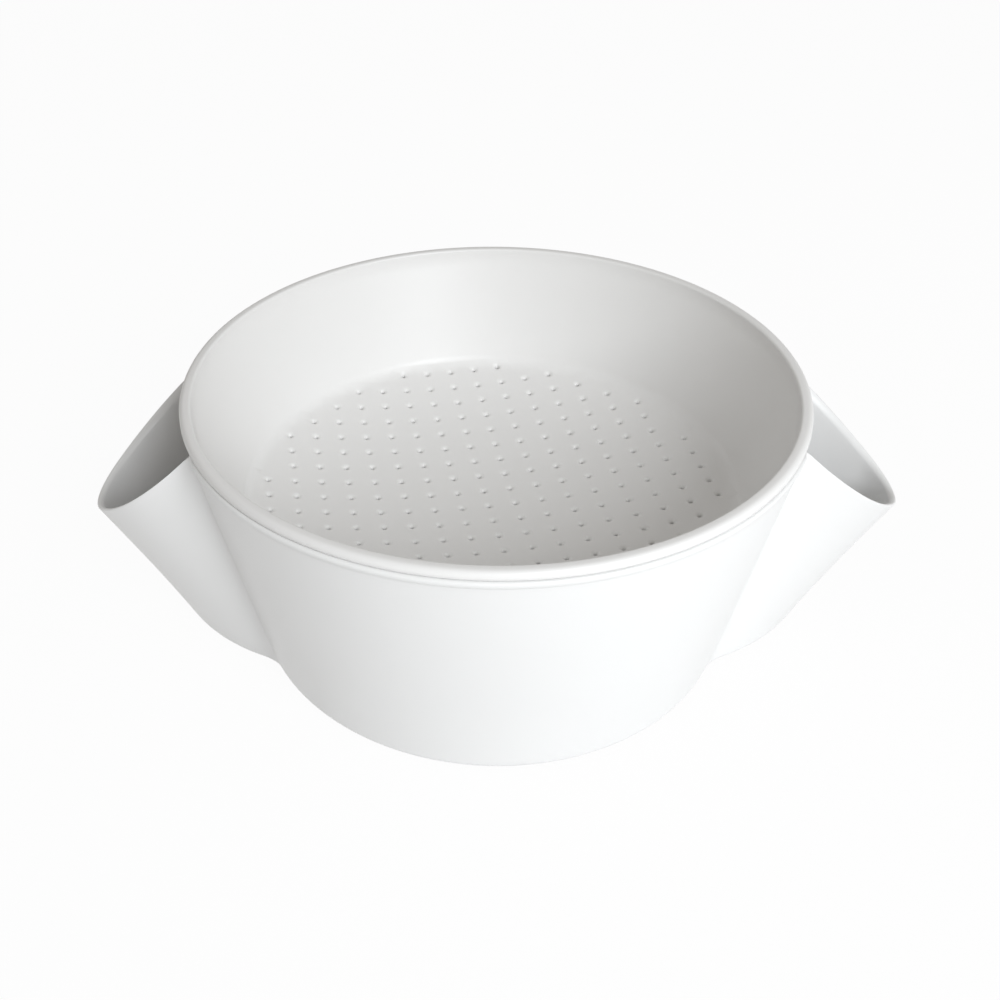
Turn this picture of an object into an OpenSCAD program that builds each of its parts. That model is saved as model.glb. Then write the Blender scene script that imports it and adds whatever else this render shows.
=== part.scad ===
// Colander that sits in a bowl with two pointed pouring handles.
// Millimetres, +Z up. The origin is the middle of the bowl's flat base, and
// +X runs along the line through both handle tips.

/* [Bowl] */
// Height of the bowl's round rim above the base
bowl_h = 108.9; // [96:0.1:140]
// Outer radius of the round wall at the rim
rim_r = 120.4; // [110:0.1:140]
// How far the round wall draws in from the rim down to the base
base_in = 24.8; // [16:0.1:32]
// Wall thickness
bowl_wall = 2.6; // [2:0.1:4]
// Thickness of the base
bowl_floor = 3; // [2:0.1:5]
// Radius of the rounded edge round the outside of the base
base_edge_r = 3.5; // [2:0.5:6]
// Radius of the curve between the base and the wall inside
floor_edge_r = 9; // [4:0.5:14]
// Width over which the handle flanks blend into the round wall
crease_w = 6; // [2:1:24]

/* [Handles] */
// How far a handle tip reaches past the rim
tip_out = 41.6; // [35:0.1:60]
// Height of a handle tip above the base
tip_h = 58.4; // [40:0.1:80]
// How far the keel's lower end reaches past the round base
keel_out = 34.5; // [28:0.1:44]
// How far inside the rim's radius the edge starts to slope down
slope_in = 12.7; // [4:0.1:24]
// Half angle in plan between the flanks where they leave the nose, at the tip
tip_angle = 47; // [40:0.1:54]
// The same half angle at the base
keel_angle = 64; // [54:0.1:70]
// Radius in plan to which the flanks bulge
flank_r = 75; // [65:1:200]
// Radius of the nose in plan at the tip's height
tip_nose_r = 24.5; // [14:0.5:32]
// Radius of the nose in plan at the base
keel_nose_r = 6; // [3:0.1:20]

/* [Bead] */
// Height of the bead round the bowl's rim
bead_h = 2.4; // [1.6:0.1:4]
// How far the bead stands out from the wall
bead_out = 0.6; // [0.2:0.1:1]
// Drop of the edge over which the bead fades out towards a handle
bead_fade = 3; // [1:0.5:8]
// Radius of the rounding along the bowl's edge
lip_r = 1.2; // [0.4:0.1:1.2]

/* [Colander] */
// How far the collar's edge stays inside the outside of the bowl's rim
rim_inset = 0.4; // [0:0.1:1]
// Width of the collar
collar_w = 4.2; // [3:0.1:6]
// Thickness of the collar
collar_t = 3.2; // [2.6:0.1:5]
// Radius of the rounded edge round the outside of the collar's top
collar_edge_r = 2; // [0.5:0.1:2.4]
// Radius of the rounded edge round the mouth
mouth_edge_r = 1.1; // [0.3:0.1:1.3]
// Wall thickness of the basket
basket_wall = 2.3; // [1.6:0.1:3.2]
// Angle by which the wall leans out from upright
basket_draft = 18.4; // [10:0.2:26]
// Depth from the collar's top to the middle of the floor
basket_depth = 62.9; // [50:0.1:80]
// Radius of the dished floor
dish_r = 435; // [250:1:900]
// Radius of the curve between floor and wall
basket_fillet = 7.8; // [4:0.5:12]
// Gap between the collar and the bowl's rim that carries it
seat_gap = 0.3; // [0.1:0.1:0.6]

/* [Drain holes] */
// Diameter of a drain hole
hole_d = 2.4; // [1.6:0.1:5]
// Distance between holes along a row
hole_pitch = 11.2; // [8:0.05:16]
// Distance between rows
row_pitch = 10.4; // [8:0.1:16]
// Distance from the collar's edge in to the drilled field, along the rows
side_w = 25.8; // [24:0.1:60]
// Distance from the collar's edge in to the drilled field, across the rows
side_l = 22.6; // [22:0.1:60]
// Turn of the hole grid about the axis
grid_turn = 9.3; // [-45:0.1:45]

/* [Hidden] */
// Length by which cuts run past what they cut
overrun = 2;
// Steps round the bowl, and steps up its outer and inner walls
around = 120;
outer_steps = 8;
inner_steps = 7;
// Steps round each rounded edge
edge_steps = 3;
// How closely the bowl's points gather towards the tips
gather_share = 0.6;
// Share of its own guess that each pass of the edge height keeps
settle_share = 0.5;
// Passes in which the edge height settles
settle_passes = 16;
// Fineness of the true curves, and of the long arc of the dish
curve_fn = 240;
dish_fn = 960;

base_r = rim_r - base_in;
tip_x = rim_r + tip_out;
keel_x = base_r + keel_out;
slope_x = rim_r - slope_in;
collar_r = rim_r - rim_inset;
field_w = collar_r - side_w;
field_l = collar_r - side_l;
collar_top = bowl_h + seat_gap + collar_t;
floor_top = collar_top - basket_depth;
dish_z = floor_top + dish_r;

// Smooth maximum of two lengths over a blend of width m
function smooth_max(a, b, m) = max(a, b) + pow(max(m - abs(a - b), 0), 2) / (4 * m);

// Distance from the axis, in the direction a, to a pointed plan with a round
// nose of radius r centred at c on the X axis. Past the nose it follows an arc
// of radius flank, which leaves the nose at angle half to the X axis
function wedge_reach(a, c, r, half, flank) =
    let (
        x = c - (flank - r) * sin(half),
        y = -(flank - r) * cos(half),
        along = x * cos(a) + y * sin(a)
    )
    a < atan2(r * cos(half), c + r * sin(half))
        ? c * cos(a) + sqrt(max(r * r - pow(c * sin(a), 2), 0))
        : along + sqrt(max(along * along - x * x - y * y + flank * flank, 0));

// Shares of the way from base to rim, and from base to tip, at height z
function rim_way(z) = z / bowl_h;
function tip_way(z) = z / tip_h;
function between(a, b, share) = a + (b - a) * share;

// Angle from the X axis, 0 to 90, of the direction t
function fold(t) = let (h = abs(t) % 180) min(h, 180 - h);

// Distance from the axis to the bowl's surface set in by inset, at height z
function bowl_reach(t, z, inset) =
    let (
        a = fold(t),
        r = between(base_r, rim_r, rim_way(z)),
        nose = between(keel_nose_r, tip_nose_r, tip_way(z)),
        half = between(keel_angle, tip_angle, tip_way(z)),
        reach = between(keel_x, tip_x, tip_way(z))
    )
    smooth_max(r - inset, wedge_reach(a, reach - nose, nose - inset, half, flank_r - inset), crease_w);

// Height of the edge at a distance x along the handle: level, then a steady
// slope down to the tip
function edge_at(x) = bowl_h - (bowl_h - tip_h) * max(x - slope_x, 0) / (tip_x - slope_x);

// Height of the bowl's edge in the direction t, settled pass by pass
function edge_height(t, z, passes) =
    passes == 0
        ? z
        : edge_height(t, between(edge_at(bowl_reach(t, z, 0) * abs(cos(t))), z, settle_share), passes - 1);

directions = [for (i = [0 : around - 1])
    let (t = 360 * i / around) t - gather_share * sin(2 * t) * 90 / PI];
edges = [for (t = directions) edge_height(t, bowl_h, settle_passes)];

// Rings of the bowl's skin, from its base up the outside, over the lip and
// down to the inner floor. A ring is its inset, the height that its share of
// the wall counts from, that share, its height above that place, and how far
// it stands out where the bead is full
function turn(i) = 90 * i / edge_steps;
inner_foot = bowl_floor + floor_edge_r;
rings = concat(
    [for (i = [0 : edge_steps])
        [base_edge_r * (1 - sin(turn(i))), base_edge_r * (1 - cos(turn(i))), 0, 0, 0]],
    [for (i = [1 : outer_steps - 1]) [0, base_edge_r, i / outer_steps, 0, 0]],
    [[0, base_edge_r, 1, lip_r - bead_h - bead_out, 0], [0, base_edge_r, 1, lip_r - bead_h, bead_out]],
    [for (i = [0 : edge_steps])
        [lip_r * (1 - cos(turn(i))), base_edge_r, 1, lip_r * sin(turn(i)), bead_out]],
    [for (i = [edge_steps : -1 : 1])
        [bowl_wall - lip_r * (1 - cos(turn(i))), inner_foot, 1, lip_r * sin(turn(i)), 0]],
    [for (i = [inner_steps : -1 : 1]) [bowl_wall, inner_foot, i / inner_steps, 0, 0]],
    [for (i = [edge_steps : -1 : 0])
        [bowl_wall + floor_edge_r * (1 - sin(turn(i))),
            bowl_floor + floor_edge_r * (1 - cos(turn(i))), 0, 0, 0]]
);

function ring_height(ring, edge) = ring[1] + ring[2] * (edge - lip_r - ring[1]) + ring[3];
function ring_points(ring) = [for (i = [0 : around - 1])
    let (
        z = ring_height(ring, edges[i]),
        bead = ring[4] * max(1 - (bowl_h - edges[i]) / bead_fade, 0),
        r = bowl_reach(directions[i], z, ring[0] - bead)
    )
    [r * cos(directions[i]), r * sin(directions[i]), z]];

module bowl() {
    count = len(rings);
    points = concat([for (ring = rings) each ring_points(ring)], [[0, 0, 0], [0, 0, bowl_floor]]);
    skin = [for (k = [0 : count - 2]) for (i = [0 : around - 1])
        let (a = k * around + i, b = k * around + (i + 1) % around)
        each [[a, a + around, b + around], [a, b + around, b]]];
    last = (count - 1) * around;
    under = [for (i = [0 : around - 1]) [count * around, i, (i + 1) % around]];
    inside = [for (i = [0 : around - 1]) [count * around + 1, last + (i + 1) % around, last + i]];
    color("whitesmoke")
        polyhedron(points, concat(skin, under, inside));
}

// Wall line of the basket set out by out, as a point at height z
function wall_r(z, out) =
    collar_r - collar_w - (collar_top - z) * tan(basket_draft) + out / cos(basket_draft);

// Centre of the curve between floor and wall: basket_fillet from the wall
// line and from the dish
function fillet_centre() =
    let (
        along = [sin(basket_draft), cos(basket_draft)],
        start = [wall_r(collar_top, -basket_fillet), collar_top - dish_z],
        toward = start * along,
        gap = dish_r - basket_fillet,
        s = -toward - sqrt(toward * toward - start * start + gap * gap)
    )
    [start[0] + s * along[0], start[1] + s * along[1] + dish_z];

// What a rounding of radius r about centre takes off a corner between two
// faces whose outward directions are way_a and way_b
module corner_cut(centre, r, way_a, way_b) {
    far = 2 * r;
    difference() {
        polygon([centre, centre + far * way_a, centre + far * (way_a + way_b), centre + far * way_b]);
        translate(centre) circle(r = r, $fn = curve_fn);
    }
}

// Half section of the basket's hollow set out by out: the dish, the leaning
// wall and the round corner between them
module hollow_section(out) {
    centre = fillet_centre();
    low = floor_top - out - overrun;
    high = collar_top + overrun;
    difference() {
        intersection() {
            translate([0, dish_z]) circle(r = dish_r + out, $fn = dish_fn);
            polygon([[0, low], [wall_r(low, out), low], [wall_r(high, out), high], [0, high]]);
        }
        corner_cut(centre, basket_fillet + out,
            (centre - [0, dish_z]) / norm(centre - [0, dish_z]),
            [cos(basket_draft), -sin(basket_draft)]);
    }
}

// Half section of the whole colander, with both top edges of the collar rounded
module colander_section() {
    edge_z = collar_top - collar_edge_r;
    mouth_z = collar_top - mouth_edge_r;
    difference() {
        union() {
            intersection() {
                hollow_section(basket_wall);
                square([collar_r, collar_top]);
            }
            translate([0, bowl_h + seat_gap]) square([collar_r, collar_t]);
        }
        hollow_section(0);
        corner_cut([collar_r - collar_edge_r, edge_z], collar_edge_r, [0, 1], [1, 0]);
        corner_cut([wall_r(mouth_z, mouth_edge_r), mouth_z], mouth_edge_r,
            [0, 1], [-cos(basket_draft), sin(basket_draft)]);
    }
}

// Drain holes in straight rows, as many as fit the oval field
module drain_holes() {
    columns = ceil(field_w / hole_pitch);
    rows = ceil(field_l / row_pitch);
    low = floor_top - basket_wall - overrun;
    high = dish_z - sqrt(dish_r * dish_r - field_l * field_l) + overrun;
    rotate(grid_turn)
        for (row = [-rows : rows])
            for (column = [-columns : columns])
                if (norm([column * hole_pitch / field_w, row * row_pitch / field_l]) <= 1)
                    translate([column * hole_pitch, row * row_pitch, low])
                        cylinder(d = hole_d, h = high - low, $fn = 24);
}

module colander() {
    color("white")
        difference() {
            rotate_extrude($fn = curve_fn) colander_section();
            drain_holes();
        }
}

colander();
bowl();
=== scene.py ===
import math
import bpy
import numpy as np
from mathutils import Matrix, Vector


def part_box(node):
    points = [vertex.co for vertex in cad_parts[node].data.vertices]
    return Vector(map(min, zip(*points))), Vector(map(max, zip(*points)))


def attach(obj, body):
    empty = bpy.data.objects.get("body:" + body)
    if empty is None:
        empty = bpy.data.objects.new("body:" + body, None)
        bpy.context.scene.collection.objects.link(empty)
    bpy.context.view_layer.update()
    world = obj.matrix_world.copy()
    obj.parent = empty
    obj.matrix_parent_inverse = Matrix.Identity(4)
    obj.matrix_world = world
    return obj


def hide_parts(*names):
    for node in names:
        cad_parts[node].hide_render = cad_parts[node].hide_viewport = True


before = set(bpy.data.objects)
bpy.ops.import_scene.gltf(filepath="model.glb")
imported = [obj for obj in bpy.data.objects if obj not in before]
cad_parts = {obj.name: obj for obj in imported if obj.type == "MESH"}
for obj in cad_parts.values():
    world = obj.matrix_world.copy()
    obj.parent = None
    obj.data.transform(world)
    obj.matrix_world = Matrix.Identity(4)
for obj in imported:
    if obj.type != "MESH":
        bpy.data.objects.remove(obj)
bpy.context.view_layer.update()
mm = 0.001  # shapes are worked out in millimetres
keysPerMm = 1000  # points are told apart to a thousandth of a millimetre
sharpAngle = np.radians(50)  # a steeper bend between faces is shaded as an edge
rightAngle, fullTurn = np.pi / 2, 2 * np.pi
plainWhite = (1, 1, 1, 1)


# Meshes

def weld(points, quads):
    # Points that agree to a micrometre become one point
    keys = np.round(points * keysPerMm).astype(np.int64)
    _, first, place = np.unique(keys, axis=0, return_index=True, return_inverse=True)
    return points[first], place.reshape(-1)[quads]


def ringQuads(rows, columns):
    # Quads between neighbouring closed rings of a grid, wound so that a ring that
    # widens anticlockwise faces up
    here = np.arange(rows * columns).reshape(rows, columns)
    beside = np.roll(here, -1, axis=1)
    return np.stack([here[:-1], here[1:], beside[1:], beside[:-1]], axis=-1).reshape(-1, 4)


def addPiece(name, points, quads, material, body, node):
    # A quad loses each corner that repeats the one before it, so a ring that has
    # shrunk to a point closes as a fan
    points, quads = weld(points, quads)
    keep = quads != np.roll(quads, 1, axis=1)
    keep &= (keep.sum(axis=1) >= 3)[:, None]
    totals = keep.sum(axis=1)
    totals = totals[totals > 0]
    corners = quads[keep]
    mesh = bpy.data.meshes.new(name)
    mesh.vertices.add(len(points))
    mesh.vertices.foreach_set("co", (points * mm).ravel())
    mesh.loops.add(len(corners))
    mesh.loops.foreach_set("vertex_index", corners)
    mesh.polygons.add(len(totals))
    mesh.polygons.foreach_set("loop_start", np.cumsum(totals) - totals)
    mesh.update(calc_edges=True)
    mesh.validate()
    mesh.shade_smooth()
    mesh.set_sharp_from_angle(angle=sharpAngle)
    mesh.materials.append(material)
    piece = bpy.data.objects.new(name, mesh)
    bpy.context.scene.collection.objects.link(piece)
    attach(piece, body)
    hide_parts(node)
    print(name, len(points), "points", len(corners) - 2 * len(totals), "triangles")


def roundSteps(count):
    # Sine and cosine of even steps over a quarter turn, both ends included
    turn = np.linspace(0, rightAngle, count + 1)
    return np.sin(turn), np.cos(turn)


def inBetween(count):
    # The shares of a stretch at count even steps, without its two ends
    return np.linspace(0, 1, count + 1)[1:-1]


def onRings(reach, direction, z):
    # Points at the distance reach from the Z axis, in a direction, at height z
    flat = [reach * np.cos(direction), reach * np.sin(direction), z]
    return np.stack(flat, axis=-1).reshape(-1, 3)


# Shader maths: a socket that adds its Math nodes as it is used in sums

class Wire:
    def __init__(self, graph, socket):
        self.graph, self.socket = graph, socket

    def sibling(self, name):
        # Another output of the same node
        return Wire(self.graph, self.socket.node.outputs[name])

    def math(self, operation, a, b):
        return self.graph.node("ShaderNodeMath", {"operation": operation}, {0: a, 1: b})

    def __add__(self, other):
        return self.math("ADD", self, other)

    def __sub__(self, other):
        return self.math("SUBTRACT", self, other)

    def __rsub__(self, other):
        return self.math("SUBTRACT", other, self)

    def __mul__(self, other):
        return self.math("MULTIPLY", self, other)

    __radd__, __rmul__ = __add__, __mul__


class Graph:
    # The nodes of a material or of the world, started empty
    def __init__(self, owner):
        owner.use_nodes = True
        self.tree = owner.node_tree
        self.tree.nodes.clear()

    def node(self, kind, settings={}, values={}, output=0):
        # Adds a node, applies its settings, then fills or links its sockets
        made = self.tree.nodes.new(kind)
        for key, value in settings.items():
            setattr(made, key, value)
        for key, value in values.items():
            if isinstance(value, Wire):
                self.tree.links.new(value.socket, made.inputs[key])
            else:
                made.inputs[key].default_value = value
        return Wire(self, made.outputs[output]) if made.outputs else made

    def noise(self, place, scale, detail):
        values = {"Vector": place, "Scale": scale, "Detail": detail}
        return self.node("ShaderNodeTexNoise", {}, values)

    def blend(self, share, a, b):
        # Mixes two colours: this node's colour sockets are the seventh and eighth,
        # and its colour output is the third
        return self.node("ShaderNodeMix", {"data_type": "RGBA"}, {0: share, 6: a, 7: b}, 2)


print("helpers ready")


# Finish

plasticLook = {
    "colourA": (0.80, 0.80, 0.795, 1), "colourB": (0.83, 0.83, 0.825, 1),
    "drift": (9.0, 2.0), "mottle": (60.0, 3.0),  # scale and detail of each noise
    "ripple": (22.0, 1.0), "grain": (900.0, 2.0),
    "noiseMiddle": 0.5, "roughness": 0.36, "roughnessSpread": 0.08,
    "rippleDepth": 0.25, "grainDepth": 0.012, "ior": 1.49,
}
basketLook = {
    **plasticLook,
    "colourA": (0.78, 0.775, 0.765, 1), "colourB": (0.81, 0.805, 0.795, 1),
    "roughness": 0.42,
}


def plasticMaterial(name, look):
    # Base colour drifts between two near whites, roughness follows a finer
    # mottle, and two noises raise the skin: a slow mould ripple and a fine grain
    material = bpy.data.materials.new(name)
    g = Graph(material)
    place = g.node("ShaderNodeTexCoord", {}, {}, "Object")
    drift, mottle, ripple, grain = [
        g.noise(place, *look[kind]) for kind in ("drift", "mottle", "ripple", "grain")]
    colour = g.blend(drift, look["colourA"], look["colourB"])
    rough = look["roughness"] + (mottle - look["noiseMiddle"]) * look["roughnessSpread"]
    height = ripple * look["rippleDepth"] + grain * look["grainDepth"]
    bump = g.node("ShaderNodeBump", {}, {"Strength": 1.0, "Distance": mm, "Height": height})
    skin = g.node("ShaderNodeBsdfPrincipled", {}, {
        "Base Color": colour, "Roughness": rough, "Normal": bump, "IOR": look["ior"]})
    g.node("ShaderNodeOutputMaterial", {}, {"Surface": skin})
    return material


bowlPlastic = plasticMaterial("bowlPlastic", plasticLook)
colanderPlastic = plasticMaterial("colanderPlastic", basketLook)
print("finishes ready")


# Bowl: a round leaning wall with two pointed pouring handles grown out of it

bowlHigh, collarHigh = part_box("bowl")[1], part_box("colander")[1]
rimR = collarHigh.x / mm + 0.4  # the collar's edge stays 0.4 inside the rim
bowl = {
    "height": bowlHigh.z / mm,  # top of the round rim
    "rimR": rimR, "baseR": rimR - 24.8,  # outer radius at rim and base
    "wall": 2.6, "floor": 3.0, "baseEdgeR": 3.5, "floorEdgeR": 9.0,
    "tipX": rimR + 41.6, "keelX": rimR + 9.7,  # reach of a tip, and of the keel at the base
    "tipH": 58.4, "slopeX": rimR - 12.7,  # the edge falls steadily from slopeX to the tip
    "tipAngle": np.radians(47), "keelAngle": np.radians(64),  # half angles of the flanks in plan
    "tipNoseR": 24.5, "keelNoseR": 6.0, "flankR": 75.0,
    "creaseW": 6.0,  # breadth of the blend between a handle and the round wall
    "beadH": 2.4, "beadOut": 0.6, "beadFade": 3.0,  # the bead fades as the edge falls
    "beadRise": (-1.6, -0.9, -0.5, 0.1),  # heights on the bead's lower side, in beadOuts
    "beadShare": (0, 0.1, 0.5, 1),  # how far out the bead stands at each of them
    "plainShare": 0.985,  # the share of the wall that lies below the bead
    "lipR": 1.2,
    "around": 420, "gatherShare": 0.6,  # steps round, closer together at the tips
    "wallSteps": 40, "edgeSteps": 8, "lipSteps": 5, "baseSteps": 8,
    "halvings": 24,  # rounds that settle the edge's height
}


def smoothMax(a, b, width):
    # The larger of a and b, plus (width - |a - b|) squared over 4 widths where they meet
    return np.maximum(a, b) + np.maximum(width - abs(a - b), 0) ** 2 / (4 * width)


def wedgeReach(angle, centre, radius, half, flankR):
    # Reach of a pointed plan with a round nose: the far crossing of the nose
    # circle, then that of the flank's circle, which touches the nose's from
    # outside its centre at the angle half to the X axis
    halfSin, halfCos = np.sin(half), np.cos(half)
    across = centre * np.sin(angle)
    nose = centre * np.cos(angle) + np.sqrt(np.maximum(radius ** 2 - across ** 2, 0))
    x = centre - (flankR - radius) * halfSin
    y = -(flankR - radius) * halfCos
    along = x * np.cos(angle) + y * np.sin(angle)
    flank = along + np.sqrt(np.maximum(along ** 2 - x ** 2 - y ** 2 + flankR ** 2, 0))
    touch = np.arctan2(radius * halfCos, centre + radius * halfSin)
    return np.where(angle < touch, nose, flank)


def bowlReach(b, direction, z, inset):
    # Reach of the skin set in by inset: the cone's radius at height z, blended
    # with the handle wedge whose nose, flanks and reach change with height
    angle = np.arcsin(abs(np.sin(direction)))
    up, tipUp = z / b["height"], z / b["tipH"]
    radius = b["baseR"] + (b["rimR"] - b["baseR"]) * up
    nose = b["keelNoseR"] + (b["tipNoseR"] - b["keelNoseR"]) * tipUp
    half = b["keelAngle"] + (b["tipAngle"] - b["keelAngle"]) * tipUp
    reach = b["keelX"] + (b["tipX"] - b["keelX"]) * tipUp
    wedge = wedgeReach(angle, reach - nose, nose - inset, half, b["flankR"] - inset)
    return smoothMax(radius - inset, wedge, b["creaseW"])


def bowlEdge(b, direction):
    # Height of the edge: level, then a steady slope down to the tip, solved by
    # halving the step towards the height at the edge's own reach
    z = np.full(direction.shape, b["height"])
    for _ in range(b["halvings"]):
        x = bowlReach(b, direction, z, 0) * abs(np.cos(direction))
        run = np.maximum(x - b["slopeX"], 0) / (b["tipX"] - b["slopeX"])
        z = (z + b["height"] - (b["height"] - b["tipH"]) * run) / 2
    return z


def bowlRings(b):
    # Rings up the outside, over the bead and lip, and down the inside to the
    # floor. Each ring is an inset, a foot, the share of the wall above that foot,
    # a height above that place, and a share of the bead
    wall, lipR, bend = b["wall"], b["lipR"], b["floorEdgeR"]
    foot, innerFoot = b["baseEdgeR"], b["floor"] + bend
    sin, cos = roundSteps(b["edgeSteps"])
    lipSin, lipCos = roundSteps(b["lipSteps"])
    climb = inBetween(b["wallSteps"])
    rise = lipR - b["beadH"] + np.multiply(b["beadRise"], b["beadOut"])

    def rings(*five):
        return np.stack(np.broadcast_arrays(*map(np.atleast_1d, five)), axis=-1)

    return np.concatenate([
        rings(foot * (1 - sin), foot * (1 - cos), 0, 0, 0),
        rings(0, foot, climb * b["plainShare"], 0, 0),
        rings(0, foot, 1, rise, b["beadShare"]),
        rings(lipR * (1 - lipCos), foot, 1, lipR * lipSin, 1),
        rings(wall - lipR * (1 - lipCos[::-1]), innerFoot, 1, lipR * lipSin[::-1], 0),
        rings(wall, innerFoot, climb[::-1], 0, 0),
        rings(wall + bend * (1 - sin[::-1]), b["floor"] + bend * (1 - cos[::-1]), 0, 0, 0),
    ])


def makeBowl(b):
    # The rings follow the edge's height in each direction, and flat rings close
    # the base below and the floor above. Directions gather at the tips by the
    # law even - share * sin(2 even) / 2
    even = np.arange(b["around"]) / b["around"] * fullTurn
    direction = even - b["gatherShare"] * np.sin(2 * even) / 2
    edge = bowlEdge(b, direction)
    inset, low, share, extra, bead = bowlRings(b).T[:, :, None]
    z = low + share * (edge - b["lipR"] - low) + extra
    beadNow = b["beadOut"] * np.maximum(1 - (b["height"] - edge) / b["beadFade"], 0)
    reach = bowlReach(b, direction, z, inset - bead * beadNow)
    inward = np.linspace(0, 1, b["baseSteps"] + 1)[:-1, None]
    base, floor = inward * reach[0], inward[::-1] * reach[-1]
    reach = np.concatenate([base, reach, floor])
    z = np.concatenate([np.zeros_like(base), z, np.full_like(floor, b["floor"])])
    points = onRings(reach, direction, z)
    quads = ringQuads(*reach.shape)[:, ::-1]
    addPiece("bowlShell", points, quads, bowlPlastic, "bowl", "bowl")


makeBowl(bowl)
print("bowl made")


# Colander: a leaning wall and a dished, drilled floor, hung by a flat collar

colander = {
    "top": collarHigh.z / mm, "collarR": collarHigh.x / mm,
    "collarW": 4.2, "collarT": 3.2, "collarEdgeR": 2.0, "mouthEdgeR": 1.1,
    "seatEdge": 0.25,  # the small bevel under the collar's edge
    "wall": 2.3, "draft": np.radians(18.4), "depth": 62.9,
    "dishR": 435.0, "filletR": 7.8,
    "holeR": 0.75, "holeEdgeR": 0.4,
    "dimpleW": 1.75, "dimpleDepth": 1.25,  # a dimple leads into each hole
    "margin": 0.3,  # a ring on the plain floor outside each edge
    "pitch": 11.2, "rowPitch": 10.4, "holesOut": 12,  # no row or column lies farther out
    "fieldW": 94.2, "fieldL": 97.4, "gridTurn": np.radians(9.3),
    "tuckR": 97.4, "tuckRoom": 1.9,  # past this radius the cells are drawn in under the wall
    "seamR": 99.4,  # where the drilled floor meets the turned wall
    "cellSteps": 5,  # points along each side of a hole's cell
    "dimpleSteps": 4, "seamSteps": 7, "filletSteps": 6, "wallSteps": 8, "edgeSteps": 6,
}


def wallR(c, z, out):
    # Radius of the leaning wall's line at height z, set out by out
    lean = (c["top"] - z) * np.tan(c["draft"])
    return c["collarR"] - c["collarW"] - lean + out / np.cos(c["draft"])


def filletCentre(c):
    # The point that lies filletR inside both the wall line and the dish: walk
    # down the set-in wall line until the distance to the dish's centre fits
    along = np.array([np.sin(c["draft"]), np.cos(c["draft"])])
    dishZ = c["top"] - c["depth"] + c["dishR"]
    start = np.array([wallR(c, c["top"], -c["filletR"]), c["top"] - dishZ])
    toward, span = start @ along, c["dishR"] - c["filletR"]
    step = -toward - np.sqrt(toward ** 2 - start @ start + span ** 2)
    return start + step * along + [0, dishZ]


def floorZ(c, r, out):
    # Height of the floor's skin at radius r: the dish's sphere up to its tangent
    # circle, then the fillet's arc, each set out by out
    centre = filletCentre(c)
    dishZ = c["top"] - c["depth"] + c["dishR"]
    tangentR = centre[0] / (c["dishR"] - c["filletR"]) * (c["dishR"] + out)
    dish = dishZ - np.sqrt((c["dishR"] + out) ** 2 - np.minimum(r, tangentR) ** 2)
    arc = centre[1] - np.sqrt((c["filletR"] + out) ** 2 - np.maximum(r - centre[0], 0) ** 2)
    return np.where(r < tangentR, dish, arc)


def turned(points, angle):
    # Plan points turned anticlockwise about the axis by angle
    spin = np.array([[np.cos(angle), np.sin(angle)], [-np.sin(angle), np.cos(angle)]])
    return points @ spin


def holeCells(c):
    # The middles of the holes, and the outline of each one's cell of the grid.
    # Cells past tuckR are drawn in by the law room * (1 - exp(-excess / room))
    steps, pitches = c["cellSteps"], [c["pitch"], c["rowPitch"]]
    run = np.arange(steps) / steps - 0.5
    half = np.full(steps, 0.5)
    outline = np.concatenate([
        np.c_[half, run], np.c_[-run, half], np.c_[-half, -run], np.c_[run, -half]])
    columns = np.arange(-c["holesOut"], c["holesOut"] + 1)
    grid = np.stack(np.meshgrid(columns, columns), axis=-1).reshape(-1, 2) * pitches
    grid = grid[np.hypot(*(grid / [c["fieldW"], c["fieldL"]]).T) <= 1]
    cells = turned(grid[:, None] + outline * pitches, c["gridTurn"])
    reach = np.linalg.norm(cells, axis=-1, keepdims=True)
    excess, room = np.maximum(reach - c["tuckR"], 0), c["tuckRoom"]
    cells = cells / reach * (reach - excess + room * (1 - np.exp(-excess / room)))
    return turned(grid, c["gridTurn"])[:, None], cells


def drilledFloor(c):
    # Each cell's rings run from its outline round the dimple into the hole, down
    # the hole's wall and out again under the floor
    centres, cells = holeCells(c)
    away = cells - centres
    away /= np.linalg.norm(away, axis=-1, keepdims=True)
    sin, cos = roundSteps(c["dimpleSteps"])

    def edgeRings(width, depth):
        # Distances from the hole's wall, and depths, round an edge that is width
        # wide and depth deep
        widen = np.r_[width + c["margin"], width * (1 - sin)]
        return widen, np.r_[0, 0, depth * (1 - cos)][:, None, None]

    widen, deep = edgeRings(c["dimpleW"], c["dimpleDepth"])
    widenUnder, deepUnder = edgeRings(c["holeEdgeR"], c["holeEdgeR"])
    out = c["holeR"] + np.r_[widen, widenUnder[::-1]]
    plan = np.concatenate([cells[None], centres + out[:, None, None, None] * away, cells[None]])
    r = np.linalg.norm(plan, axis=-1)
    above, below = r[:len(deep)], r[len(deep):]
    z = np.concatenate([floorZ(c, above, 0) - deep, floorZ(c, below, c["wall"]) + deepUnder[::-1]])
    points = np.concatenate([plan, z[..., None]], axis=-1)  # ring, cell, place, coordinate
    rows, number, places = points.shape[:3]
    quads = ringQuads(rows, places)[:, ::-1]
    quads = quads // places * (number * places) + quads % places
    quads = (quads[None] + np.arange(number)[:, None, None] * places).reshape(-1, 4)
    return points.reshape(-1, 3), quads, cells


def fieldRim(cells):
    # The outline of all the cells together, anticlockwise: the ends of those
    # cell edges that only one cell has, in the order of their direction
    ends = np.stack([cells, np.roll(cells, -1, axis=1)], axis=2).reshape(-1, 2)
    keys = np.round(ends * keysPerMm)
    _, first, ids = np.unique(keys, axis=0, return_index=True, return_inverse=True)
    edge, uses = np.unique(np.sort(ids.reshape(-1, 2), axis=1), axis=0, return_counts=True)
    rim = ends[first[np.unique(edge[uses == 1])]]
    return rim[np.argsort(np.arctan2(rim[:, 1], rim[:, 0]))]


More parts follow.
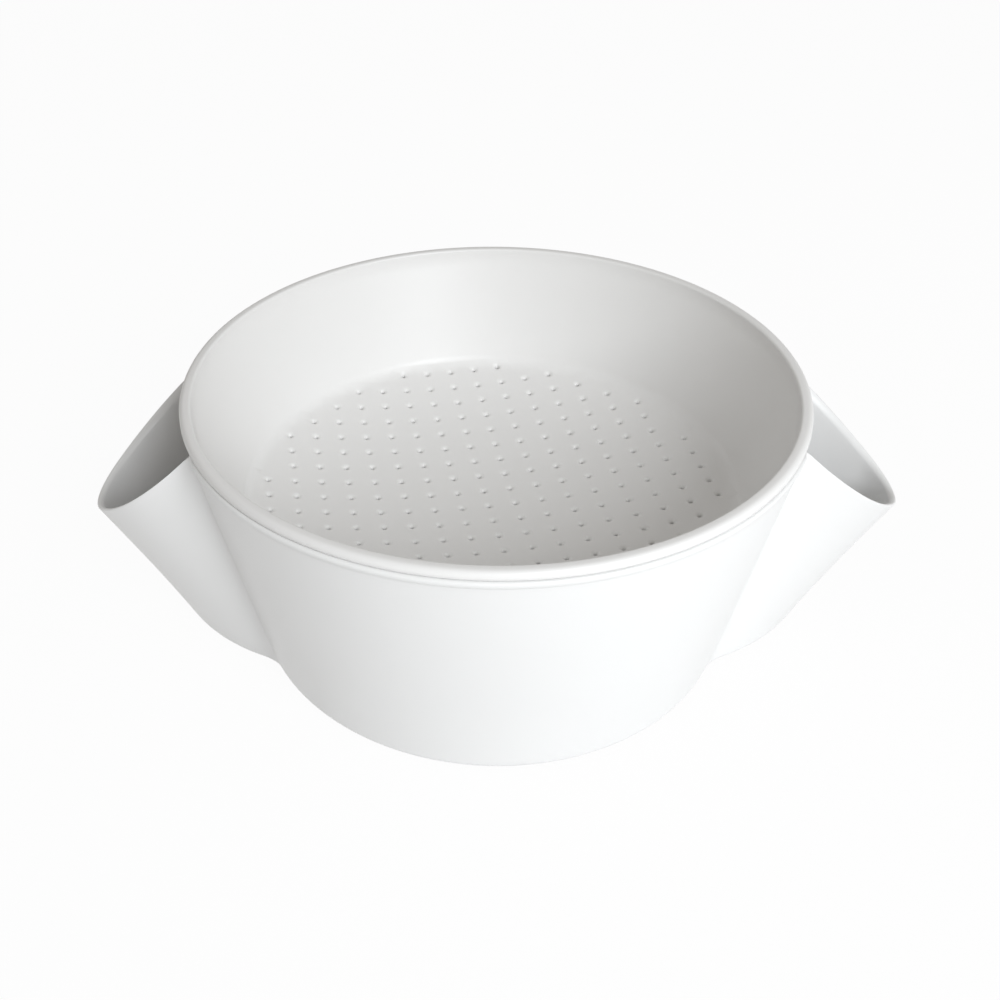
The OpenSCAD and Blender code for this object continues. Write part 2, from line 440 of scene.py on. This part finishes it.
def wallProfile(c):
    # Radius and height from seamR up the fillet and the inner wall, over the
    # collar, and back down the outside to seamR under the floor
    centre = filletCentre(c)

    def filletArc(out):
        radius = c["filletR"] + out
        first = np.arcsin((c["seamR"] - centre[0]) / radius)
        angle = np.linspace(first, rightAngle - c["draft"], c["filletSteps"] + 1)
        return centre + radius * np.c_[np.sin(angle), -np.cos(angle)]

    def between(a, b):
        return a + (b - a) * inBetween(c["wallSteps"])[:, None]

    mouth, mouthZ = c["mouthEdgeR"], c["top"] - c["mouthEdgeR"]
    turn = np.linspace(-c["draft"], rightAngle, c["edgeSteps"] + 1)
    inner = np.c_[
        wallR(c, mouthZ, mouth) - mouth * np.cos(turn), mouthZ + mouth * np.sin(turn)]
    edge, edgeZ = c["collarEdgeR"], c["top"] - c["collarEdgeR"]
    sin, cos = roundSteps(c["edgeSteps"])
    outer = np.c_[c["collarR"] - edge * (1 - cos), edgeZ + edge * sin][::-1]
    seatZ, bevel = c["top"] - c["collarT"], c["seatEdge"]
    seat = np.array([
        [c["collarR"], seatZ + bevel], [c["collarR"] - bevel, seatZ],
        [wallR(c, seatZ, c["wall"]), seatZ]])
    up, down = filletArc(0), filletArc(c["wall"])[::-1]
    return np.concatenate([
        up, between(up[-1], inner[0]), inner, outer, seat, between(seat[-1], down[0]), down])


def turnedWall(c, rim):
    # Rings from the field's rim out to seamR, round the wall's profile, and back
    # in to the underside of the rim
    profile = wallProfile(c)
    rimR, direction = np.hypot(*rim.T), np.arctan2(rim[:, 1], rim[:, 0])
    share = np.linspace(0, 1, c["seamSteps"] + 1)[:-1, None]
    above = rimR + (c["seamR"] - rimR) * share
    below = above[::-1]
    wall = np.repeat(profile[:, :, None], len(rim), axis=2)
    r = np.concatenate([above, wall[:, 0], below])
    z = np.concatenate([floorZ(c, above, 0), wall[:, 1], floorZ(c, below, c["wall"])])
    return onRings(r, direction, z), ringQuads(*r.shape)


def makeColander(c):
    floorPoints, floorQuads, cells = drilledFloor(c)
    wallPoints, wallQuads = turnedWall(c, fieldRim(cells))
    points = np.concatenate([floorPoints, wallPoints])
    quads = np.concatenate([floorQuads, wallQuads + len(floorPoints)])
    addPiece("colanderBasket", points, quads, colanderPlastic,
             "colander", "colander")


makeColander(colander)
print("colander made")


# Stage: a pale floor, a large soft lamp at the front right and a pale sky

stage = {
    "floorReach": 4.0, "floorColour": (0.82, 0.82, 0.82, 1), "floorGlow": 0.95,
    "sky": 0.43, "skyColour": (1.0, 0.975, 0.94, 1),
    "lampPlace": (0.55, -1.05, 0.75), "lampAim": (0, 0, 0.08), "lampSize": 0.8,
    "lampPower": 14.6, "lampColour": (0.94, 0.97, 1.0),
}


def makeFloor(s):
    # A square sheet. Camera, mirror and glass rays see it as plain white at the
    # share floorGlow, and all other light meets floorColour
    corners = np.array([[-1, -1, 0], [1, -1, 0], [1, 1, 0], [-1, 1, 0]]) * s["floorReach"]
    mesh = bpy.data.meshes.new("floor")
    mesh.from_pydata(corners.tolist(), [], [[0, 1, 2, 3]])
    floor = bpy.data.objects.new("floor", mesh)
    bpy.context.scene.collection.objects.link(floor)
    paper = bpy.data.materials.new("floorPaper")
    g = Graph(paper)
    ray = g.node("ShaderNodeLightPath", {}, {}, "Is Camera Ray")
    seen = ray + ray.sibling("Is Glossy Ray") + ray.sibling("Is Transmission Ray")
    lit = g.node("ShaderNodeBsdfDiffuse", {}, {"Color": s["floorColour"]})
    white = g.node("ShaderNodeEmission", {}, {"Color": plainWhite, "Strength": 1.0})
    mixed = g.node("ShaderNodeMixShader", {}, {0: seen * s["floorGlow"], 1: lit, 2: white})
    g.node("ShaderNodeOutputMaterial", {}, {"Surface": mixed})
    mesh.materials.append(paper)


def makeSky(s):
    # The camera sees plain white, and the object is lit by the dimmer, warmer sky
    world = bpy.data.worlds.new("sky")
    bpy.context.scene.world = world
    g = Graph(world)
    seen = g.node("ShaderNodeLightPath", {}, {}, "Is Camera Ray")
    dim = g.node("ShaderNodeBackground", {}, {"Color": s["skyColour"], "Strength": s["sky"]})
    white = g.node("ShaderNodeBackground", {}, {"Color": plainWhite, "Strength": 1.0})
    mixed = g.node("ShaderNodeMixShader", {}, {0: seen, 1: dim, 2: white})
    g.node("ShaderNodeOutputWorld", {}, {"Surface": mixed})


def makeLamp(s):
    # A round soft lamp, turned so that its -Z axis points at lampAim
    light = bpy.data.lights.new("keyLamp", "AREA")
    light.shape, light.size, light.energy = "DISK", s["lampSize"], s["lampPower"]
    light.color = s["lampColour"]
    holder = bpy.data.objects.new("keyLamp", light)
    bpy.context.scene.collection.objects.link(holder)
    holder.location = s["lampPlace"]
    holder.rotation_mode = "QUATERNION"
    aim = Vector(s["lampAim"]) - Vector(s["lampPlace"])
    holder.rotation_quaternion = aim.to_track_quat("-Z", "Y")


makeFloor(stage)
makeSky(stage)
makeLamp(stage)
print("stage made")


# Camera

camera = {
    "eye": (-15.3, -417.1, 357.1), "aim": (-41.9, 0, 109.5), "roll": -0.0438,
    "lens": 44.76, "shiftX": 0.118, "shiftY": -0.118,
    "near": 0.01, "far": 20,  # what lies between these distances shows, in metres
}


def makeCamera(v):
    # The camera's axes: forward to the aim, right level with the floor, both
    # turned about forward by roll
    eye = Vector(v["eye"])
    forward = (Vector(v["aim"]) - eye).normalized()
    level = forward.cross(Vector((0, 0, 1))).normalized()
    upright = level.cross(forward)
    right = level * math.cos(v["roll"]) + upright * math.sin(v["roll"])
    up = right.cross(forward)
    data = bpy.data.cameras.new("camera")
    data.lens, data.shift_x, data.shift_y = v["lens"], v["shiftX"], v["shiftY"]
    data.clip_start, data.clip_end = v["near"], v["far"]
    holder = bpy.data.objects.new("camera", data)
    bpy.context.scene.collection.objects.link(holder)
    turn = Matrix([right, up, -forward]).transposed().to_4x4()
    holder.matrix_world = Matrix.Translation(eye * mm) @ turn
    bpy.context.scene.camera = holder


makeCamera(camera)
bpy.context.scene.view_settings.view_transform = "Standard"
print("camera made")
